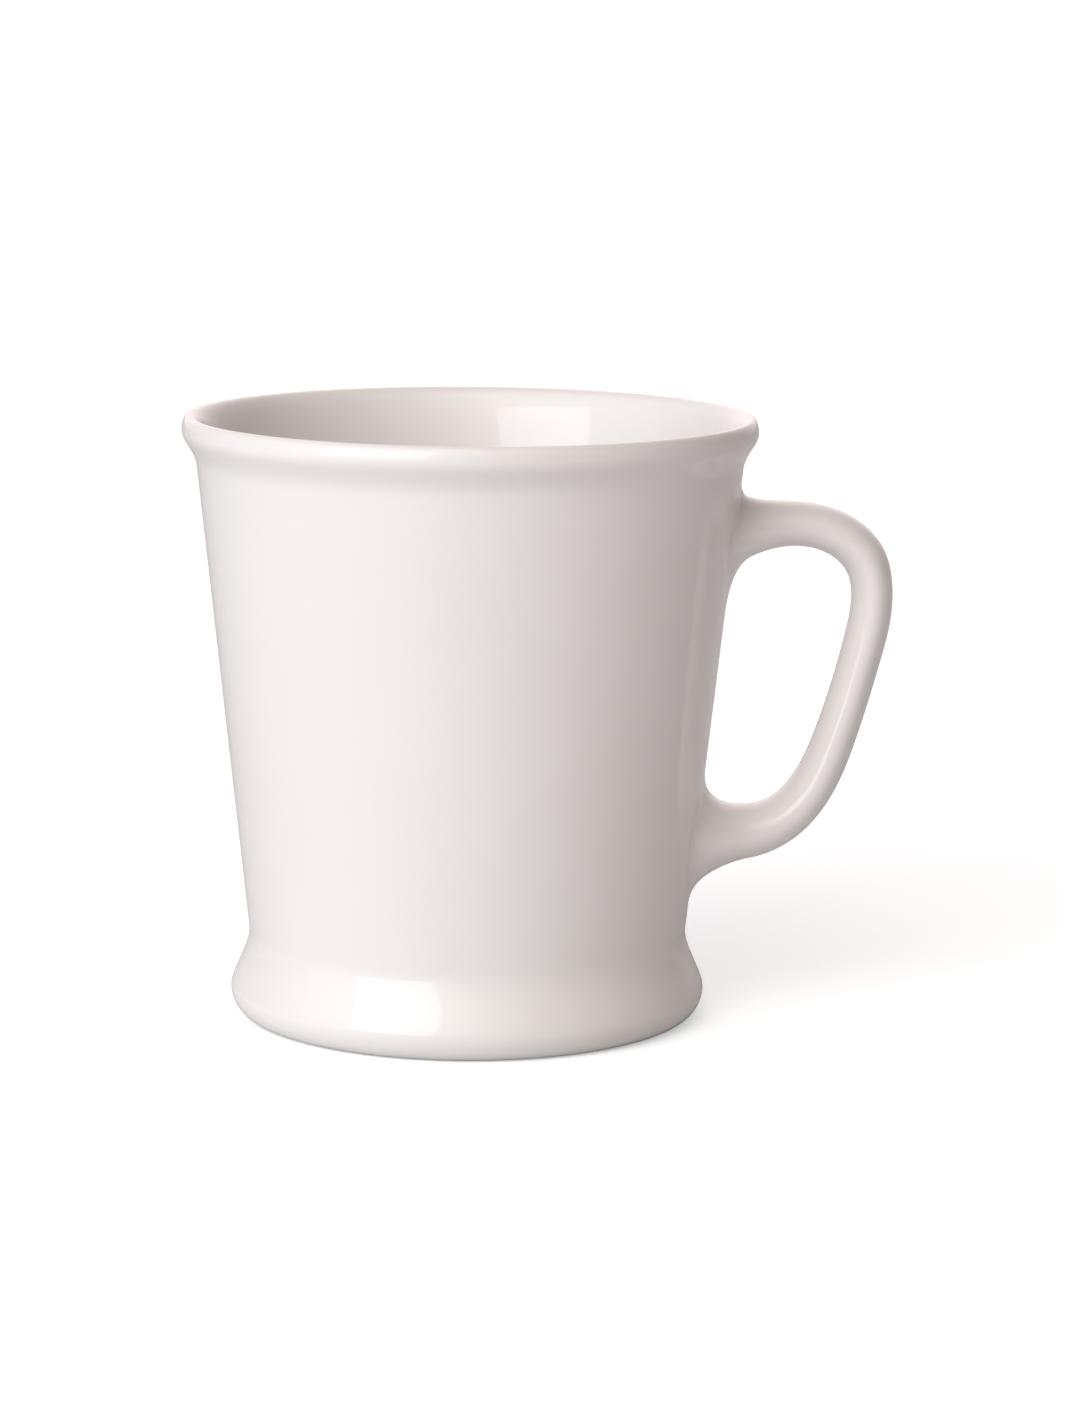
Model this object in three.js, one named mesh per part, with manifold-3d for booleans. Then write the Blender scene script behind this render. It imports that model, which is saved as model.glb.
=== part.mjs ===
// Shaving mug: a one-handled glazed ceramic mug with a rolled lip, a tapered wall and a flared foot.
// Millimetres, +Z up. The origin is on the cup's axis, in the plane that the foot ring stands on.
// The handle reaches out along +X, in the plane y = 0.
import * as THREE from 'three';
import { mergeVertices } from 'three/addons/utils/BufferGeometryUtils.js';
import Module from 'manifold-3d';

const wasm = await Module();
wasm.setup();

// Cup, outside
const height = 97;
const restRadius = 34.8; // outer edge of the ring that the cup stands on
const footRadius = 38.4; // widest part of the foot
const footWidestZ = 4.2;
const waistRadius = 35.43; // where the foot's flare meets the straight wall
const waistZ = 13.9;
const shoulderRadius = 43.6; // where the straight wall meets the cove under the lip
const shoulderZ = 88.8;
const lipRadius = 46; // widest part of the rolled lip
const lipWidestZ = 94.7;
const crestRadius = 44.9; // highest line of the lip
const mouthRadius = 41.9; // where the lip's inner roll passes into the flare of the inner wall
const mouthZ = 93.2;
const mouthLean = 20; // degrees from upright at that point

// Cup, inside and underneath
const wallThickness = 3.9;
const innerWallTopZ = 79; // where the straight inner wall starts to open out into the lip
const floorTopZ = 6.5;
const floorRound = 10; // radius between the inner wall and the floor
const ringInnerRadius = 30.5; // inner edge of the foot ring
const recessRadius = 29.8; // flat ceiling of the recess inside the foot ring
const recessDepth = 0.75;

// Handle: half its width across y, and the clay slip that joins it to the wall
const gripHalfWidth = 5.7;
const upperFootprintHalfWidth = 9.6;
const lowerFootprintHalfWidth = 10.4;
const slipThickness = 1.2;
const gap = 0.3; // left between pieces that touch
const wrapLength = 9; // stretch at each end where the section bends to follow the round wall
const capDepth = 2; // how far the closing fans reach inside the wall, where they are cut away

// Mesh density
const aroundCup = 72;
const aroundHandle = 20;
const alongHandle = 60;
const endCrowding = 0.11; // sections crowd together towards the flared ends

const quarterArc = 0.5523; // Bezier handle length of a quarter circle of radius 1
const wallSlope = new THREE.Vector2(shoulderRadius - waistRadius, shoulderZ - waistZ).normalize();

const wallRadiusAt = (z) =>
  waistRadius + (z - waistZ) * ((shoulderRadius - waistRadius) / (shoulderZ - waistZ));

const point = (radius, z) => new THREE.Vector2(radius, z);

const along = (start, direction, distance) => start.clone().addScaledVector(direction, distance);

// A Bezier stretch of a profile, without its first point.
const bend = (a, b, c, d, steps) => new THREE.CubicBezierCurve(a, b, c, d).getPoints(steps).slice(1);

// A quarter turn from one point to the other: it leaves along the axis named first.
function quarterTurn(from, to, leavesAlong, steps) {
  const dr = (to.x - from.x) * quarterArc;
  const dz = (to.y - from.y) * quarterArc;
  const risesFirst = leavesAlong === 'z';
  const b = risesFirst ? point(from.x, from.y + dz) : point(from.x + dr, from.y);
  const c = risesFirst ? point(to.x - dr, to.y) : point(to.x, to.y - dz);
  return bend(from, b, c, to, steps);
}

// Outside of the cup from the foot ring's outer edge up to the crest of the lip.
function outerProfile() {
  const rest = point(restRadius, 0);
  const footWidest = point(footRadius, footWidestZ);
  const waist = point(waistRadius, waistZ);
  const shoulder = point(shoulderRadius, shoulderZ);
  const lipWidest = point(lipRadius, lipWidestZ);
  const crest = point(crestRadius, height);
  return [
    rest,
    ...quarterTurn(rest, footWidest, 'r', 6),
    ...bend(footWidest, point(footRadius, footWidestZ + 1.8), along(waist, wallSlope, -3.1), waist, 8),
    shoulder,
    ...bend(shoulder, along(shoulder, wallSlope, 3), point(lipRadius, lipWidestZ - 1.8), lipWidest, 6),
    ...quarterTurn(lipWidest, crest, 'z', 6),
  ];
}

// Inside of the cup from the crest of the lip down to the middle of the floor.
function innerProfile() {
  const crest = point(crestRadius, height);
  const mouth = point(mouthRadius, mouthZ);
  const lean = THREE.MathUtils.degToRad(mouthLean);
  const flare = point(Math.sin(lean), Math.cos(lean));
  const wallTop = point(wallRadiusAt(innerWallTopZ) - wallThickness, innerWallTopZ);
  const roundTopZ = floorTopZ + floorRound;
  const roundTop = point(wallRadiusAt(roundTopZ) - wallThickness, roundTopZ);
  const roundEnd = point(roundTop.x - floorRound, floorTopZ);
  return [
    ...bend(crest, point(crestRadius - 1.6, height), along(mouth, flare, 1.6), mouth, 6),
    ...bend(mouth, along(mouth, flare, -3), along(wallTop, wallSlope, 5), wallTop, 8),
    roundTop,
    ...quarterTurn(roundTop, roundEnd, 'z', 8),
    point(0, floorTopZ),
  ];
}

// A profile turned round the z axis. It starts and ends on the axis.
function turned(profile) {
  return new THREE.LatheGeometry(profile, aroundCup).rotateX(Math.PI / 2);
}

// A closed geometry as a solid: vertices welded, triangles that shrank to a line left out.
function solidOf(geometry) {
  geometry.deleteAttribute('normal');
  geometry.deleteAttribute('uv');
  const welded = mergeVertices(geometry, 1e-4);
  const corners = welded.index.array;
  const kept = [];
  for (let i = 0; i < corners.length; i += 3) {
    const [a, b, c] = corners.slice(i, i + 3);
    if (a !== b && b !== c && c !== a) kept.push(a, b, c);
  }
  const vertProperties = new Float32Array(welded.attributes.position.array);
  return new wasm.Manifold(new wasm.Mesh({ numProp: 3, vertProperties, triVerts: new Uint32Array(kept) }));
}

function geometryOf(solid) {
  const { vertProperties, triVerts } = solid.getMesh();
  const geometry = new THREE.BufferGeometry();
  geometry.setAttribute('position', new THREE.BufferAttribute(new Float32Array(vertProperties), 3));
  geometry.setIndex(new THREE.BufferAttribute(new Uint32Array(triVerts), 1));
  geometry.computeVertexNormals();
  return geometry;
}

// The cast cup: floor, wall, lip and foot in one piece.
function cupBody() {
  const underside = [
    point(0, recessDepth),
    point(recessRadius, recessDepth),
    point(ringInnerRadius, 0),
  ];
  return solidOf(turned([...underside, ...outerProfile(), ...innerProfile()]));
}

// Everything inside the cup's outer surface grown by a margin.
function cupEnvelope(margin) {
  const grown = outerProfile().map((p) => point(p.x + margin, p.y));
  return solidOf(turned([point(0, 0), ...grown, point(0, height)]));
}

// The handle's two outlines in the plane y = 0, as pairs of facing points [x, z], from the upper
// joint round to the lower one. The first and last pairs lie on the cup's wall.
const onWall = (z) => [wallRadiusAt(z), z];
const outlinePairs = [
  { outer: onWall(87.6), inner: onWall(65.0), halfWidth: upperFootprintHalfWidth },
  { outer: [45.2, 84.0], inner: [43.5, 73.2], halfWidth: 7.4 },
  { outer: [46.8, 83.7], inner: [46.0, 75.0], halfWidth: 6.6 },
  { outer: [59.6, 81.9], inner: [57.1, 75.3], halfWidth: gripHalfWidth },
  { outer: [66.3, 76.2], inner: [60.4, 72.4], halfWidth: gripHalfWidth },
  { outer: [68.0, 67.6], inner: [61.4, 68.0], halfWidth: gripHalfWidth },
  { outer: [66.5, 58.7], inner: [60.1, 60.3], halfWidth: gripHalfWidth },
  { outer: [62.5, 44.7], inner: [56.1, 46.7], halfWidth: gripHalfWidth },
  { outer: [58.1, 34.5], inner: [52.2, 38.4], halfWidth: gripHalfWidth },
  { outer: [52.3, 28.2], inner: [47.5, 34.5], halfWidth: 6.0 },
  { outer: [46.7, 25.6], inner: [42.8, 34.0], halfWidth: 6.7 },
  { outer: [41.0, 23.8], inner: [39.4, 35.6], halfWidth: 8.3 },
  { outer: onWall(17.8), inner: onWall(40.8), halfWidth: lowerFootprintHalfWidth },
];

// How fast the outlines and the half width leave or meet the wall, per mm along the handle.
const startSpeed = { outer: -3.0, inner: 3.9, halfWidth: -0.9 };
const endSpeed = { outer: -3.3, inner: 3.1, halfWidth: 0.9 };

// A smooth curve through values at given stations, with given slopes at its ends. Its second
// derivative is continuous: the inner slopes solve a tridiagonal system.
function smoothThrough(stations, values, firstSlope, lastSlope) {
  const last = stations.length - 1;
  const span = (i) => stations[i + 1] - stations[i];
  const rise = (i) => (values[i + 1] - values[i]) / span(i);
  const slopes = new Array(last + 1).fill(0);
  slopes[0] = firstSlope;
  slopes[last] = lastSlope;
  const carry = new Array(last + 1).fill(0);
  for (let i = 1; i < last; i += 1) {
    const pivot = 2 * (span(i - 1) + span(i)) - span(i) * carry[i - 1];
    const target = 3 * (span(i) * rise(i - 1) + span(i - 1) * rise(i));
    carry[i] = span(i - 1) / pivot;
    slopes[i] = (target - span(i) * slopes[i - 1]) / pivot;
  }
  for (let i = last - 1; i > 0; i -= 1) slopes[i] -= carry[i] * slopes[i + 1];
  return (station) => {
    let i = 0;
    while (i < last - 1 && station > stations[i + 1]) i += 1;
    const h = span(i);
    const t = (station - stations[i]) / h;
    const fromStart = values[i] + t * t * (3 - 2 * t) * (values[i + 1] - values[i]);
    return fromStart + t * (1 - t) * ((1 - t) * slopes[i] - t * slopes[i + 1]) * h;
  };
}

// The handle's section at any station: centre, the way across its thickness, and its half sizes.
function handleSections() {
  const middles = outlinePairs.map(({ outer, inner }) =>
    point((outer[0] + inner[0]) / 2, (outer[1] + inner[1]) / 2));
  const stations = [0];
  for (let i = 1; i < middles.length; i += 1) {
    stations.push(stations[i - 1] + middles[i].distanceTo(middles[i - 1]));
  }
  const curve = (pick, first, final) => smoothThrough(stations, outlinePairs.map(pick), first, final);
  const side = (name, axis) => {
    const slope = wallSlope.getComponent(axis);
    return curve((p) => p[name][axis], slope * startSpeed[name], slope * endSpeed[name]);
  };
  const outer = [side('outer', 0), side('outer', 1)];
  const inner = [side('inner', 0), side('inner', 1)];
  const halfWidth = curve((p) => p.halfWidth, startSpeed.halfWidth, endSpeed.halfWidth);
  const length = stations[stations.length - 1];
  return { length, at: (s) => ({
    outer: point(outer[0](s), outer[1](s)),
    inner: point(inner[0](s), inner[1](s)),
    halfWidth: halfWidth(s),
  }) };
}

// An oval section. Near the handle's ends it is pushed back in x so that it wraps round the cup.
function handleRing(sections, s) {
  const { outer, inner, halfWidth } = sections.at(s);
  const toEnd = Math.min(s, sections.length - s);
  const wrap = 1 - THREE.MathUtils.smoothstep(toEnd, 0, wrapLength);
  const ring = [];
  for (let k = 0; k < aroundHandle; k += 1) {
    const turn = (2 * Math.PI * k) / aroundHandle;
    const across = (1 + Math.cos(turn)) / 2;
    const x = inner.x + (outer.x - inner.x) * across;
    const z = inner.y + (outer.y - inner.y) * across;
    const y = halfWidth * Math.sin(turn);
    const radius = wallRadiusAt(z);
    const sag = radius - Math.sqrt(radius * radius - y * y);
    ring.push(new THREE.Vector3(x - sag * wrap, y, z));
  }
  return ring;
}

// The whole handle with both flared ends, closed by fans just inside the cup's wall.
function flaredHandle() {
  const sections = handleSections();
  const rings = [];
  for (let i = 0; i <= alongHandle; i += 1) {
    const even = i / alongHandle;
    const eased = even - endCrowding * Math.sin(2 * Math.PI * even);
    rings.push(handleRing(sections, eased * sections.length));
  }
  const capMiddle = (ring) => {
    const middle = new THREE.Vector3();
    ring.forEach((p) => middle.addScaledVector(p, 1 / ring.length));
    middle.x -= capDepth;
    return middle;
  };
  const caps = [capMiddle(rings[0]), capMiddle(rings[alongHandle])];
  const vertices = [...rings.flat(), ...caps];
  const [firstCap, lastCap] = [vertices.length - 2, vertices.length - 1];
  const at = (i, k) => i * aroundHandle + (k % aroundHandle);
  const triangles = [];
  for (let k = 0; k < aroundHandle; k += 1) {
    triangles.push(firstCap, at(0, k), at(0, k + 1));
    triangles.push(lastCap, at(alongHandle, k + 1), at(alongHandle, k));
    for (let i = 0; i < alongHandle; i += 1) {
      triangles.push(at(i, k), at(i + 1, k + 1), at(i, k + 1));
      triangles.push(at(i, k), at(i + 1, k), at(i + 1, k + 1));
    }
  }
  const geometry = new THREE.BufferGeometry().setFromPoints(vertices);
  geometry.setIndex(triangles);
  return solidOf(geometry);
}

// Everything near the mug above (side 1) or below (side -1) a height, as a large box.
function halfSpace(z, side) {
  const size = 3 * height;
  return solidOf(new THREE.BoxGeometry(size, size, size).translate(0, 0, z + (side * size) / 2));
}

// The handle ends where the slip starts; the slip pads lie between the handle and the wall.
function handleAndJoints() {
  const whole = flaredHandle();
  const slipOuter = gap + slipThickness;
  const handle = whole.subtract(cupEnvelope(slipOuter + gap));
  const pads = whole.intersect(cupEnvelope(slipOuter)).subtract(cupEnvelope(gap));
  const middleZ = height / 2;
  return {
    handle,
    upperJoint: pads.intersect(halfSpace(middleZ, 1)),
    lowerJoint: pads.intersect(halfSpace(middleZ, -1)),
  };
}

const glaze = () => new THREE.MeshStandardMaterial({ color: 0xe6e0dc, roughness: 0.12, metalness: 0 });
const slip = () => new THREE.MeshStandardMaterial({ color: 0xe2dbd5, roughness: 0.15, metalness: 0 });

function piece(name, solid, material) {
  const mesh = new THREE.Mesh(geometryOf(solid), material);
  mesh.name = name;
  return mesh;
}

function mug() {
  const { handle, upperJoint, lowerJoint } = handleAndJoints();
  const group = new THREE.Group();
  group.add(piece('cup_body', cupBody(), glaze()));
  group.add(piece('handle', handle, glaze()));
  group.add(piece('upper_slip_joint', upperJoint, slip()));
  group.add(piece('lower_slip_joint', lowerJoint, slip()));
  return group;
}

export default mug();
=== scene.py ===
"""Shaving mug: a glazed ceramic mug on a pale studio floor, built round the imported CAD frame."""
import math

import bpy
import numpy as np
from mathutils import Matrix, Vector


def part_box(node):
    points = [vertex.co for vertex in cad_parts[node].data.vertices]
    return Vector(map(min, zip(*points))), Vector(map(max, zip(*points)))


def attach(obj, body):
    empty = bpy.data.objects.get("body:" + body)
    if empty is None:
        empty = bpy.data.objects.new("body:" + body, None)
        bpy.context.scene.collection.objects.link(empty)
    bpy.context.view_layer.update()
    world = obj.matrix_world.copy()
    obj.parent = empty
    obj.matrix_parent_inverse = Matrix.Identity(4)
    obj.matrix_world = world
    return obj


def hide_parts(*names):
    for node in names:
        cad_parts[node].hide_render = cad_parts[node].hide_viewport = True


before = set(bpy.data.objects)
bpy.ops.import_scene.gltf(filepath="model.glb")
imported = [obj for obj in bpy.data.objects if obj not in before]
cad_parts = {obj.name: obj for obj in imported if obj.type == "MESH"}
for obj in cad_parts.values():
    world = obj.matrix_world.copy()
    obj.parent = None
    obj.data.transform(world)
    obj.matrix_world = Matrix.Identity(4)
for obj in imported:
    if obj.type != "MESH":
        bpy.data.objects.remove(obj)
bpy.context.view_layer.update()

# The drawing is in millimetres on a cup 97 mm tall. One drawing unit in metres comes from the frame.
DRAWN_HEIGHT = 97.0
CUP_LOW, CUP_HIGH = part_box("cup_body")
MM = (CUP_HIGH.z - CUP_LOW.z) / DRAWN_HEIGHT

# Cup, outside
HEIGHT = DRAWN_HEIGHT
REST_RADIUS = 34.8
FOOT_RADIUS = 38.4
FOOT_WIDEST_Z = 4.2
WAIST_RADIUS = 35.43
WAIST_Z = 13.9
SHOULDER_RADIUS = 43.6
SHOULDER_Z = 88.8
LIP_RADIUS = 46.0
LIP_WIDEST_Z = 94.7
CREST_RADIUS = 44.9
MOUTH_RADIUS = 41.9
MOUTH_Z = 93.2
MOUTH_LEAN = 20.0  # degrees from upright, where the lip's roll passes into the inner wall

# How far the Bezier handle reaches from each named point of the profile
FOOT_EASE = 1.8
WAIST_EASE = 3.1
SHOULDER_EASE = 3
LIP_EASE = 1.8
CREST_EASE = 1.6
MOUTH_EASE_UP = 1.6
MOUTH_EASE_DOWN = 3
INNER_WALL_EASE = 5

# Cup, inside and underneath
WALL_THICKNESS = 3.9
INNER_WALL_TOP_Z = 79.0
FLOOR_TOP_Z = 6.5
FLOOR_ROUND = 10.0
RING_INNER_RADIUS = 30.5
RECESS_RADIUS = 29.6
RECESS_DEPTH = 0.75
BARE_CLAY_TOP_Z = 0.35  # the glaze is wiped off below this height on the foot ring
BARE_CLAY_FADE = 0.6  # the glaze begins to show at this share of that height
THIN_GLAZE_Z = LIP_WIDEST_Z + 1.2  # the glaze gets thinner from here up to the crest
POLE_RADIUS = 1.0  # radius of the ring of points next to the cup's axis

# Handle
GRIP_HALF_WIDTH = 5.7
UPPER_FOOTPRINT_HALF_WIDTH = 9.6
LOWER_FOOTPRINT_HALF_WIDTH = 10.4
WRAP_LENGTH = 9.0
UPPER_JOINT_LENGTH = 3.0  # length of handle that belongs to each slip joint
LOWER_JOINT_LENGTH = 2.6
JOINT_SINK = 0.02  # how far the joint's last ring lies under the wall's surface

# Mesh density
AROUND_CUP = 256
AROUND_HANDLE = 96
ALONG_HANDLE = 320
END_CROWDING = 0.11  # draws the handle's rings closer together at its two ends

QUARTER_ARC = 0.5523  # handle length of a Bezier quarter circle of radius 1


# ---------------------------------------------------------------- curves

def unit(vector):
    return np.asarray(vector, float) / np.linalg.norm(vector)


WALL_DIRECTION = unit((SHOULDER_RADIUS - WAIST_RADIUS, SHOULDER_Z - WAIST_Z))


def wall_radius(z):
    """Radius of the cup's straight outer wall at a height."""
    taper = (SHOULDER_RADIUS - WAIST_RADIUS) / (SHOULDER_Z - WAIST_Z)
    return WAIST_RADIUS + (z - WAIST_Z) * taper


def bend(a, b, c, d, steps):
    """A Bezier stretch of a profile, without its first point."""
    a, b, c, d = (np.asarray(p, float) for p in (a, b, c, d))
    t = np.linspace(0, 1, steps + 1)[1:, None]
    return (1 - t) ** 3 * a + 3 * (1 - t) ** 2 * t * b + 3 * (1 - t) * t * t * c + t ** 3 * d


def quarter_turn(start, end, leaves_along, steps):
    """A quarter of an oval between two points. It leaves along r or z and arrives along the other."""
    dr = (end[0] - start[0]) * QUARTER_ARC
    dz = (end[1] - start[1]) * QUARTER_ARC
    if leaves_along == "z":
        return bend(start, (start[0], start[1] + dz), (end[0] - dr, end[1]), end, steps)
    return bend(start, (start[0] + dr, start[1]), (end[0], end[1] - dz), end, steps)


def straight(start, end, steps):
    """A straight stretch of a profile, without its first point."""
    t = np.linspace(0, 1, steps + 1)[1:, None]
    return (1 - t) * np.asarray(start, float) + t * np.asarray(end, float)


class SmoothCurve:
    """Passes through values at stations, with set slopes at its ends and a continuous curvature."""

    def __init__(self, stations, values, first_slope, last_slope):
        self.stations = np.asarray(stations, float)
        self.values = np.asarray(values, float)
        count = len(self.stations)
        span = np.diff(self.stations)
        rise = np.diff(self.values, axis=0) / span[:, None]
        system = np.eye(count)
        target = np.zeros_like(self.values)
        target[0], target[-1] = first_slope, last_slope
        for i in range(1, count - 1):
            system[i, i - 1:i + 2] = span[i], 2 * (span[i - 1] + span[i]), span[i - 1]
            target[i] = 3 * (span[i] * rise[i - 1] + span[i - 1] * rise[i])
        self.slopes = np.linalg.solve(system, target)

    def at(self, s):
        s = np.asarray(s, float)
        i = np.clip(np.searchsorted(self.stations, s, side="right") - 1, 0, len(self.stations) - 2)
        span = (self.stations[i + 1] - self.stations[i])[:, None]
        t = (s - self.stations[i])[:, None] / span
        between = self.values[i] + t * t * (3 - 2 * t) * (self.values[i + 1] - self.values[i])
        swing = (1 - t) * self.slopes[i] - t * self.slopes[i + 1]
        return between + t * (1 - t) * swing * span


# ---------------------------------------------------------------- cup

def outer_profile():
    """The outside of the cup, from the foot ring's outer edge up to the crest of the lip."""
    rest = (REST_RADIUS, 0)
    widest = (FOOT_RADIUS, FOOT_WIDEST_Z)
    waist = np.array((WAIST_RADIUS, WAIST_Z))
    shoulder = np.array((SHOULDER_RADIUS, SHOULDER_Z))
    lip = (LIP_RADIUS, LIP_WIDEST_Z)
    crest = (CREST_RADIUS, HEIGHT)
    above_widest = (FOOT_RADIUS, FOOT_WIDEST_Z + FOOT_EASE)
    below_lip = (LIP_RADIUS, LIP_WIDEST_Z - LIP_EASE)
    return np.vstack([
        quarter_turn(rest, widest, "r", 18),
        bend(widest, above_widest, waist - WALL_DIRECTION * WAIST_EASE, waist, 24),
        straight(waist, shoulder, 40),
        bend(shoulder, shoulder + WALL_DIRECTION * SHOULDER_EASE, below_lip, lip, 18),
        quarter_turn(lip, crest, "z", 14),
    ])


def inner_profile():
    """The inside of the cup, from the crest of the lip down to the middle of the floor."""
    crest = np.array((CREST_RADIUS, HEIGHT))
    mouth = np.array((MOUTH_RADIUS, MOUTH_Z))
    lean = math.radians(MOUTH_LEAN)
    flare = np.array((math.sin(lean), math.cos(lean)))
    wall_top = np.array((wall_radius(INNER_WALL_TOP_Z) - WALL_THICKNESS, INNER_WALL_TOP_Z))
    above_wall_top = wall_top + WALL_DIRECTION * INNER_WALL_EASE
    round_top_z = FLOOR_TOP_Z + FLOOR_ROUND
    round_top = (wall_radius(round_top_z) - WALL_THICKNESS, round_top_z)
    round_end = (round_top[0] - FLOOR_ROUND, FLOOR_TOP_Z)
    return np.vstack([
        bend(crest, crest - (CREST_EASE, 0), mouth + flare * MOUTH_EASE_UP, mouth, 24),
        bend(mouth, mouth - flare * MOUTH_EASE_DOWN, above_wall_top, wall_top, 36),
        straight(wall_top, round_top, 40),
        quarter_turn(round_top, round_end, "z", 24),
        straight(round_end, (POLE_RADIUS, FLOOR_TOP_Z), 10),
    ])


def underside_profile():
    """The recess under the cup and the foot ring, from near the axis out to the ring's outer edge."""
    step = RING_INNER_RADIUS - RECESS_RADIUS
    middle = (RECESS_RADIUS + step / 2, RECESS_DEPTH / 2)
    ceiling_edge = (RECESS_RADIUS, RECESS_DEPTH)
    return np.vstack([
        straight((POLE_RADIUS, RECESS_DEPTH), ceiling_edge, 12),
        quarter_turn(ceiling_edge, middle, "r", 6),
        quarter_turn(middle, (RING_INNER_RADIUS, 0), "z", 6),
        straight((RING_INNER_RADIUS, 0), (REST_RADIUS, 0), 6),
    ])


def turned_mesh(name, profile, around):
    """A closed body of revolution. The profile starts beside the axis below and ends beside it above."""
    low_pole, high_pole = profile[0][1], profile[-1][1]
    angles = np.arange(around) * (2 * math.pi / around)
    rings = np.zeros((len(profile), around, 3))
    rings[:, :, 0] = profile[:, :1] * np.cos(angles)
    rings[:, :, 1] = profile[:, :1] * np.sin(angles)
    rings[:, :, 2] = profile[:, 1:]
    vertices = [tuple(p) for p in rings.reshape(-1, 3) * MM]
    vertices += [(0, 0, low_pole * MM), (0, 0, high_pole * MM)]
    low, high = len(vertices) - 2, len(vertices) - 1
    last = (len(profile) - 1) * around
    faces = []
    for k in range(around):
        n = (k + 1) % around
        faces.append((low, n, k))
        faces.append((high, last + k, last + n))
        for i in range(len(profile) - 1):
            base = i * around
            faces.append((base + k, base + n, base + around + n, base + around + k))
    mesh = bpy.data.meshes.new(name)
    mesh.from_pydata(vertices, [], faces)
    mesh.shade_smooth()
    return mesh


def paint(mesh, name, values):
    """Stores one number for each vertex, for a material to read."""
    attribute = mesh.attributes.new(name, "FLOAT", "POINT")
    attribute.data.foreach_set("value", np.asarray(values, np.float32))


def smooth_step(x, low, high):
    t = np.clip((x - low) / (high - low), 0, 1)
    return t * t * (3 - 2 * t)


def make_cup():
    profile = np.vstack([underside_profile(), outer_profile(), inner_profile()])
    mesh = turned_mesh("cast_cup", profile, AROUND_CUP)
    place = np.array([v.co for v in mesh.vertices]) / MM
    radius, z = np.hypot(place[:, 0], place[:, 1]), place[:, 2]
    on_ring = smooth_step(radius, RECESS_RADIUS, RING_INNER_RADIUS)
    glazed = smooth_step(z, BARE_CLAY_TOP_Z * BARE_CLAY_FADE, BARE_CLAY_TOP_Z)
    paint(mesh, "bare_clay", on_ring * (1 - glazed))
    paint(mesh, "thin_glaze", smooth_step(z, THIN_GLAZE_Z, HEIGHT))
    return bpy.data.objects.new("cast_cup", mesh)


# ---------------------------------------------------------------- handle

def on_wall(z):
    return (wall_radius(z), z)


# Facing points of the handle's outer and inner outlines in the plane y = 0, and half the width
# across y, from the upper joint round to the lower one. The first and last lie on the wall.
OUTLINE = [
    (on_wall(87.6), on_wall(65.0), UPPER_FOOTPRINT_HALF_WIDTH),
    ((45.2, 84.0), (43.5, 73.2), 7.4),
    ((46.8, 83.7), (46.0, 75.0), 6.6),
    ((59.6, 81.9), (57.1, 75.3), GRIP_HALF_WIDTH),
    ((66.3, 76.2), (60.4, 72.4), GRIP_HALF_WIDTH),
    ((68.0, 67.6), (61.4, 68.0), GRIP_HALF_WIDTH),
    ((66.5, 58.7), (60.1, 60.3), GRIP_HALF_WIDTH),
    ((62.5, 44.7), (56.1, 46.7), GRIP_HALF_WIDTH),
    ((58.1, 34.5), (52.2, 38.4), GRIP_HALF_WIDTH),
    ((52.3, 28.2), (47.5, 34.5), 6.0),
    ((46.7, 25.6), (42.8, 34.0), 6.7),
    ((41.0, 23.8), (39.4, 35.6), 8.3),
    (on_wall(17.8), on_wall(40.8), LOWER_FOOTPRINT_HALF_WIDTH),
]
# How fast outer outline, inner outline and half width change along the handle at its two ends.
START_SPEED = (-3.0, 3.9, -0.9)
END_SPEED = (-3.3, 3.1, 0.9)


def handle_curve():
    """Outer x and z, inner x and z, and half width, along the handle. Returns it and its length."""
    values = np.array([(*outer, *inner, half) for outer, inner, half in OUTLINE])
    middles = (values[:, 0:2] + values[:, 2:4]) / 2
    steps = np.linalg.norm(np.diff(middles, axis=0), axis=1)
    stations = np.concatenate([[0], np.cumsum(steps)])

    def slopes(speed):
        return np.array([*(WALL_DIRECTION * speed[0]), *(WALL_DIRECTION * speed[1]), speed[2]])

    return SmoothCurve(stations, values, slopes(START_SPEED), slopes(END_SPEED)), stations[-1]


def handle_surface(stations, curve, length):
    """Points of the handle's skin, one ring of AROUND_HANDLE points for each station."""
    outer_x, outer_z, inner_x, inner_z, half = (c[:, None] for c in curve.at(stations).T)
    turn = np.arange(AROUND_HANDLE) * (2 * math.pi / AROUND_HANDLE)
    across = (1 + np.cos(turn)) / 2
    x = inner_x + (outer_x - inner_x) * across
    y = half * np.sin(turn)
    z = inner_z + (outer_z - inner_z) * across
    to_end = np.minimum(stations, length - stations)[:, None]
    wrap = 1 - smooth_step(to_end, 0, WRAP_LENGTH)
    radius = wall_radius(z)
    sag = radius - np.sqrt(radius ** 2 - y ** 2)
    return np.stack([x - sag * wrap, y, z], axis=2)


def wall_normals(points):
    """Outward normals of the cup's straight wall."""
    radial = points[..., :2] / np.linalg.norm(points[..., :2], axis=-1, keepdims=True)
    across, up = WALL_DIRECTION[1], -WALL_DIRECTION[0]
    return np.concatenate([radial * across, np.full(radial.shape[:-1] + (1,), up)], axis=-1)


def skin_normals(rings):
    """Outward normals of a grid of rings. On the first and last ring they are the wall's."""
    lengthwise = np.gradient(rings, axis=0)
    around = np.roll(rings, -1, axis=1) - np.roll(rings, 1, axis=1)
    normals = np.cross(lengthwise, around)
    normals /= np.linalg.norm(normals, axis=2, keepdims=True)
    middles = rings.mean(axis=1, keepdims=True)
    if ((rings - middles) * normals)[len(rings) // 2].sum() < 0:
        normals = -normals
    for end in (0, -1):
        normals[end] = wall_normals(rings[end])
    return normals


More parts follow.
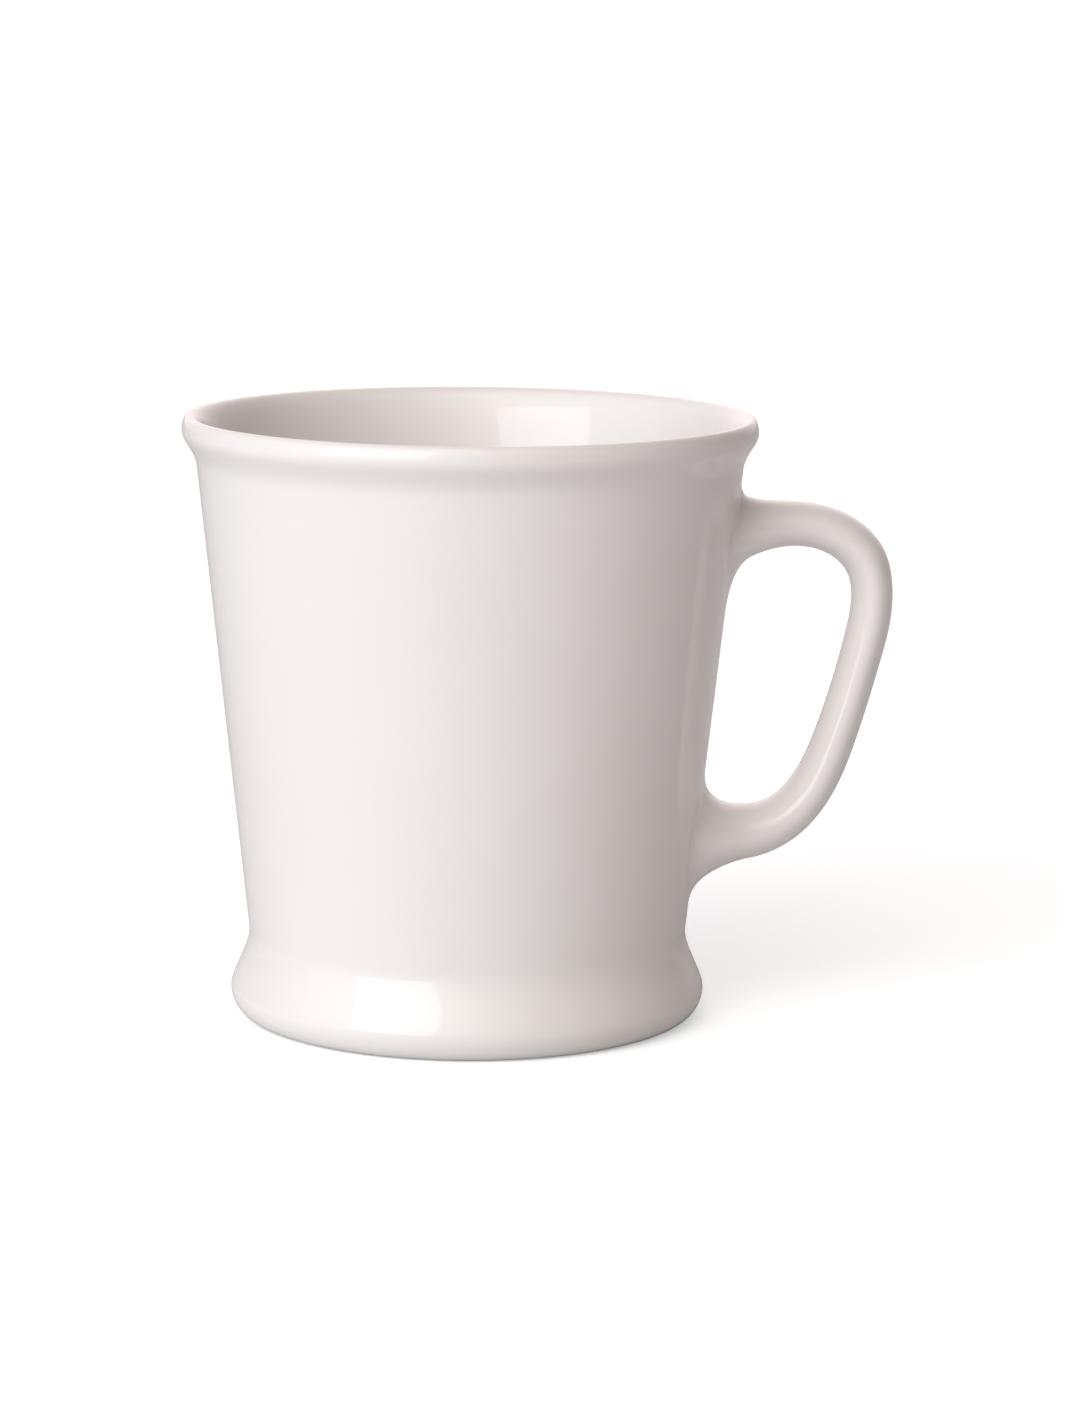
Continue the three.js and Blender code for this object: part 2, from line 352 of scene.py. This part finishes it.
def skin_piece(name, rings, normals):
    """A tube of quads over some of the handle's rings, shaded with the whole handle's normals."""
    count, around = rings.shape[:2]
    faces = []
    for i in range(count - 1):
        for k in range(around):
            n = (k + 1) % around
            faces.append((i * around + k, (i + 1) * around + k, (i + 1) * around + n, i * around + n))
    mesh = bpy.data.meshes.new(name)
    mesh.from_pydata([tuple(p) for p in rings.reshape(-1, 3) * MM], [], faces)
    mesh.shade_smooth()
    mesh.normals_split_custom_set_from_vertices([tuple(n) for n in normals.reshape(-1, 3)])
    return bpy.data.objects.new(name, mesh)


def make_handle():
    """The handle and its two slip joints, cut from one continuous skin."""
    curve, length = handle_curve()
    even = np.linspace(0, 1, ALONG_HANDLE + 1)
    stations = (even - END_CROWDING * np.sin(2 * math.pi * even)) * length
    upper_cut = int(np.searchsorted(stations, UPPER_JOINT_LENGTH))
    lower_cut = int(np.searchsorted(stations, length - LOWER_JOINT_LENGTH))
    rings = handle_surface(stations, curve, length)
    normals = skin_normals(rings)
    for end in (0, -1):
        rings[end] -= normals[end] * JOINT_SINK
    cuts = {
        "upper_joint_bead": slice(0, upper_cut + 1),
        "cast_handle": slice(upper_cut, lower_cut + 1),
        "lower_joint_bead": slice(lower_cut, len(stations)),
    }
    return {name: skin_piece(name, rings[cut], normals[cut]) for name, cut in cuts.items()}


# ---------------------------------------------------------------- materials

def new_material(name):
    material = bpy.data.materials.new(name)
    material.use_nodes = True
    return material, material.node_tree, material.node_tree.nodes["Principled BSDF"]


def add_node(tree, kind, **settings):
    node = tree.nodes.new(kind)
    for key, value in settings.items():
        if key in node.inputs:
            node.inputs[key].default_value = value
        else:
            setattr(node, key, value)
    return node


def noise(tree, coordinates, scale, detail=2.0):
    node = add_node(tree, "ShaderNodeTexNoise", Scale=scale, Detail=detail)
    tree.links.new(coordinates, node.inputs["Vector"])
    return node.outputs["Fac"]


def remap(tree, value, low, high, from_low=0.3, from_high=0.7):
    node = add_node(tree, "ShaderNodeMapRange")
    for key, number in zip(("From Min", "From Max", "To Min", "To Max"), (from_low, from_high, low, high)):
        node.inputs[key].default_value = number
    tree.links.new(value, node.inputs["Value"])
    return node.outputs["Result"]


def mix_colour(tree, factor, first, second):
    node = add_node(tree, "ShaderNodeMix", data_type="RGBA")
    tree.links.new(factor, node.inputs["Factor"])
    for socket, colour in ((node.inputs[6], first), (node.inputs[7], second)):
        if isinstance(colour, tuple):
            socket.default_value = (*colour, 1)
        else:
            tree.links.new(colour, socket)
    return node.outputs[2]


def mix_value(tree, factor, first, second):
    node = add_node(tree, "ShaderNodeMix", data_type="FLOAT")
    tree.links.new(factor, node.inputs["Factor"])
    for socket, value in ((node.inputs[2], first), (node.inputs[3], second)):
        if isinstance(value, float):
            socket.default_value = value
        else:
            tree.links.new(value, socket)
    return node.outputs[0]


def bump(tree, height, distance, strength=1.0, under=None):
    node = add_node(tree, "ShaderNodeBump", Strength=strength, Distance=distance)
    tree.links.new(height, node.inputs["Height"])
    if under is not None:
        tree.links.new(under, node.inputs["Normal"])
    return node.outputs["Normal"]


GLAZE_COLOUR = (0.900, 0.874, 0.858)
GLAZE_COLOUR_THICK = (0.912, 0.890, 0.876)
THIN_GLAZE_COLOUR = (0.850, 0.800, 0.770)
CLAY_COLOUR = (0.62, 0.50, 0.40)
CLAY_COLOUR_DARK = (0.52, 0.41, 0.32)
THIN_GLAZE_SHARE = 0.6  # how much of the thin glaze's tint shows on the very crest
GLAZE_IOR = 1.5
GLAZE_ROUGHNESS = (0.055, 0.085)
CLAY_ROUGHNESS = 0.85

# Noise scales, in cells per metre
DRIFT_SCALE = 38.0
POLISH_SCALE = 120.0
WAVE_SCALE = 55.0
PEEL_SCALE = 520.0
GRAIN_SCALE = 2600.0
FLOOR_TONE_SCALE = 3.0

# Heights of the surface relief, in metres
WAVE_HEIGHT = 0.00010
PEEL_HEIGHT = 0.000006
GRAIN_HEIGHT = 0.00006

FLOOR_WHITE = (0.93, 0.93, 0.93)
FLOOR_WHITE_LIGHT = (0.95, 0.95, 0.95)
FLOOR_BOUNCE_COLOUR = (0.72, 0.72, 0.72)  # how much light the floor throws back onto the mug
FLOOR_GLOW = (0.405, 0.435, 0.44)
FLOOR_ROUGHNESS = 0.9
FLOOR_SPECULAR = 0.1


def glaze_material():
    """Warm white glossy glaze: slow tint drift, orange peel, thinner at the lip, clay on the ring."""
    material, tree, shader = new_material("warm_white_glaze")
    where = add_node(tree, "ShaderNodeTexCoord").outputs["Object"]
    bare = add_node(tree, "ShaderNodeAttribute", attribute_name="bare_clay").outputs["Fac"]
    thin = add_node(tree, "ShaderNodeAttribute", attribute_name="thin_glaze").outputs["Fac"]
    drift = remap(tree, noise(tree, where, DRIFT_SCALE), 0.0, 1.0)
    glaze = mix_colour(tree, drift, GLAZE_COLOUR, GLAZE_COLOUR_THICK)
    thinness = remap(tree, thin, 0.0, THIN_GLAZE_SHARE, 0.0, 1.0)
    glaze = mix_colour(tree, thinness, glaze, THIN_GLAZE_COLOUR)
    grain = remap(tree, noise(tree, where, GRAIN_SCALE, 4.0), 0.0, 1.0)
    clay = mix_colour(tree, grain, CLAY_COLOUR_DARK, CLAY_COLOUR)
    tree.links.new(mix_colour(tree, bare, glaze, clay), shader.inputs["Base Color"])
    polish = remap(tree, noise(tree, where, POLISH_SCALE), *GLAZE_ROUGHNESS)
    tree.links.new(mix_value(tree, bare, polish, CLAY_ROUGHNESS), shader.inputs["Roughness"])
    waves = bump(tree, noise(tree, where, WAVE_SCALE, 1.0), WAVE_HEIGHT)
    peel = bump(tree, noise(tree, where, PEEL_SCALE, 1.0), PEEL_HEIGHT, under=waves)
    gritty = mix_value(tree, bare, 0.0, grain)
    tree.links.new(bump(tree, gritty, GRAIN_HEIGHT, under=peel), shader.inputs["Normal"])
    shader.inputs["IOR"].default_value = GLAZE_IOR
    return material


def floor_material():
    """Matt studio paper. The camera sees it white and a little glowing, like a lit white sweep."""
    material, tree, shader = new_material("studio_floor")
    where = add_node(tree, "ShaderNodeTexCoord").outputs["Object"]
    tone = remap(tree, noise(tree, where, FLOOR_TONE_SCALE), 0.0, 1.0)
    white = mix_colour(tree, tone, FLOOR_WHITE, FLOOR_WHITE_LIGHT)
    seen = add_node(tree, "ShaderNodeLightPath").outputs["Is Camera Ray"]
    colour = mix_colour(tree, seen, FLOOR_BOUNCE_COLOUR, white)
    tree.links.new(colour, shader.inputs["Base Color"])
    shader.inputs["Roughness"].default_value = FLOOR_ROUGHNESS
    shader.inputs["Specular IOR Level"].default_value = FLOOR_SPECULAR
    shader.inputs["Emission Color"].default_value = (*FLOOR_GLOW, 1)
    tree.links.new(seen, shader.inputs["Emission Strength"])
    return material


# ---------------------------------------------------------------- scene

FLOOR_HALF_SIZE = 80.0
ROOM_GLOW = 0.02
# Soft lobes of light in the room: azimuth (0 is the camera's side), elevation, sharpness, colour.
ROOM_LOBES = [
    (180, 20, 4, (1.45, 1.30, 1.29)),
    (-45, 25, 4, (1.38, 1.48, 1.59)),
    (-10, 50, 12, (1.38, 1.09, 0.84)),
    (95, 10, 4, (0.15, 0.15, 0.14)),
    (0, 90, 6, (0.35, 0.25, 0.28)),
]

CAMERA_PLACE = (0, -0.7055, 0.1724)
CAMERA_PITCH = 9.899  # degrees down from level
CAMERA_YAW = 0.835  # degrees
CAMERA_ROLL = 0.506  # degrees
CAMERA_LENS = 112.51  # mm
CAMERA_SENSOR = 36  # mm


def link(thing):
    """Puts an object into the scene."""
    bpy.context.scene.collection.objects.link(thing)
    return thing


def mount_piece(piece, node, material):
    """Places a visible piece that rides on the mug's only body and stands for one CAD node."""
    link(piece)
    piece.data.materials.append(material)
    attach(piece, "root")
    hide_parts(node)


def make_floor():
    size = FLOOR_HALF_SIZE
    mesh = bpy.data.meshes.new("studio_floor")
    corners = [(-size, -size, 0), (size, -size, 0), (size, size, 0), (-size, size, 0)]
    mesh.from_pydata(corners, [], [(0, 1, 2, 3)])
    mesh.materials.append(floor_material())
    floor = link(bpy.data.objects.new("studio_floor", mesh))


def soft_box(name, azimuth, elevation, distance, width, height, target_z, power):
    """A rectangular area light aimed at a point on the cup's axis. Azimuth 0 is the camera's side."""
    light = bpy.data.lights.new(name, "AREA")
    light.shape = "RECTANGLE"
    light.size, light.size_y = width, height
    light.energy = power
    lamp = link(bpy.data.objects.new(name, light))
    away = towards(azimuth, elevation)
    lamp.location = Vector((0, 0, target_z)) + away * distance
    lamp.rotation_euler = away.to_track_quat("Z", "Y").to_euler()


def towards(azimuth, elevation):
    """The unit vector towards a direction in the studio. Azimuth 0 is the camera's side."""
    az, el = math.radians(azimuth), math.radians(elevation)
    return Vector((math.sin(az) * math.cos(el), -math.cos(az) * math.cos(el), math.sin(el)))


def maths(tree, operation, first, second):
    """A maths node. Each operand is a number or another node's output."""
    node = add_node(tree, "ShaderNodeMath", operation=operation)
    for socket, value in zip(node.inputs, (first, second)):
        if isinstance(value, (int, float)):
            socket.default_value = value
        else:
            tree.links.new(value, socket)
    return node.outputs[0]


def glow_shader(tree, colour, strength):
    """A world shader of one colour. The strength is a number or another node's output."""
    glow = add_node(tree, "ShaderNodeBackground")
    glow.inputs["Color"].default_value = (*colour, 1)
    if isinstance(strength, (int, float)):
        glow.inputs["Strength"].default_value = strength
    else:
        tree.links.new(strength, glow.inputs["Strength"])
    return glow.outputs[0]


def make_world():
    """A dim room with soft lobes of light. The camera sees a white backdrop instead."""
    world = bpy.data.worlds.new("studio")
    bpy.context.scene.world = world
    world.use_nodes = True
    tree = world.node_tree
    tree.nodes.remove(tree.nodes["Background"])
    direction = add_node(tree, "ShaderNodeTexCoord").outputs["Generated"]
    room = glow_shader(tree, (1, 1, 1), ROOM_GLOW)
    for azimuth, elevation, sharpness, colour in ROOM_LOBES:
        dot = add_node(tree, "ShaderNodeVectorMath", operation="DOT_PRODUCT")
        tree.links.new(direction, dot.inputs[0])
        dot.inputs[1].default_value = towards(azimuth, elevation)
        facing = maths(tree, "MAXIMUM", dot.outputs["Value"], 0.0)
        lobe = glow_shader(tree, colour, maths(tree, "POWER", facing, sharpness))
        both = add_node(tree, "ShaderNodeAddShader")
        tree.links.new(room, both.inputs[0])
        tree.links.new(lobe, both.inputs[1])
        room = both.outputs[0]
    seen = add_node(tree, "ShaderNodeLightPath").outputs["Is Camera Ray"]
    shader = add_node(tree, "ShaderNodeMixShader")
    tree.links.new(seen, shader.inputs[0])
    tree.links.new(room, shader.inputs[1])
    tree.links.new(glow_shader(tree, (1, 1, 1), 1.0), shader.inputs[2])
    tree.links.new(shader.outputs[0], tree.nodes["World Output"].inputs["Surface"])


def make_lights():
    make_world()
    soft_box("key_soft_box", azimuth=-37, elevation=21, distance=1.25,
             width=0.93, height=0.85, target_z=0.05, power=5.4)


def make_camera():
    """Looks slightly down at the mug from 0.7 m, with a long lens."""
    pitch, yaw, roll = (math.radians(a) for a in (CAMERA_PITCH, CAMERA_YAW, CAMERA_ROLL))
    ahead = math.cos(pitch)
    forward = Vector((math.sin(yaw) * ahead, math.cos(yaw) * ahead, -math.sin(pitch)))
    level = Vector((math.cos(yaw), -math.sin(yaw), 0))
    upright = level.cross(forward)
    right = level * math.cos(roll) + upright * math.sin(roll)
    up = upright * math.cos(roll) - level * math.sin(roll)
    data = bpy.data.cameras.new("camera")
    data.sensor_width = CAMERA_SENSOR
    data.lens = CAMERA_LENS
    camera = link(bpy.data.objects.new("camera", data))
    turn = Matrix((right, up, -forward)).transposed()
    camera.matrix_world = Matrix.Translation(CAMERA_PLACE) @ turn.to_4x4()
    bpy.context.scene.camera = camera


def make_mug():
    glaze = glaze_material()
    mount_piece(make_cup(), "cup_body", glaze)
    nodes = {
        "cast_handle": ("handle", "glazed_handle"),
        "upper_joint_bead": ("upper_slip_joint", "glazed_slip"),
        "lower_joint_bead": ("lower_slip_joint", "glazed_slip"),
    }
    for name, piece in make_handle().items():
        node, slot = nodes[name]
        mount_piece(piece, node, glaze)


make_camera()
make_mug()
make_floor()
make_lights()
bpy.context.scene.view_settings.view_transform = "Standard"

bpy.context.view_layer.update()
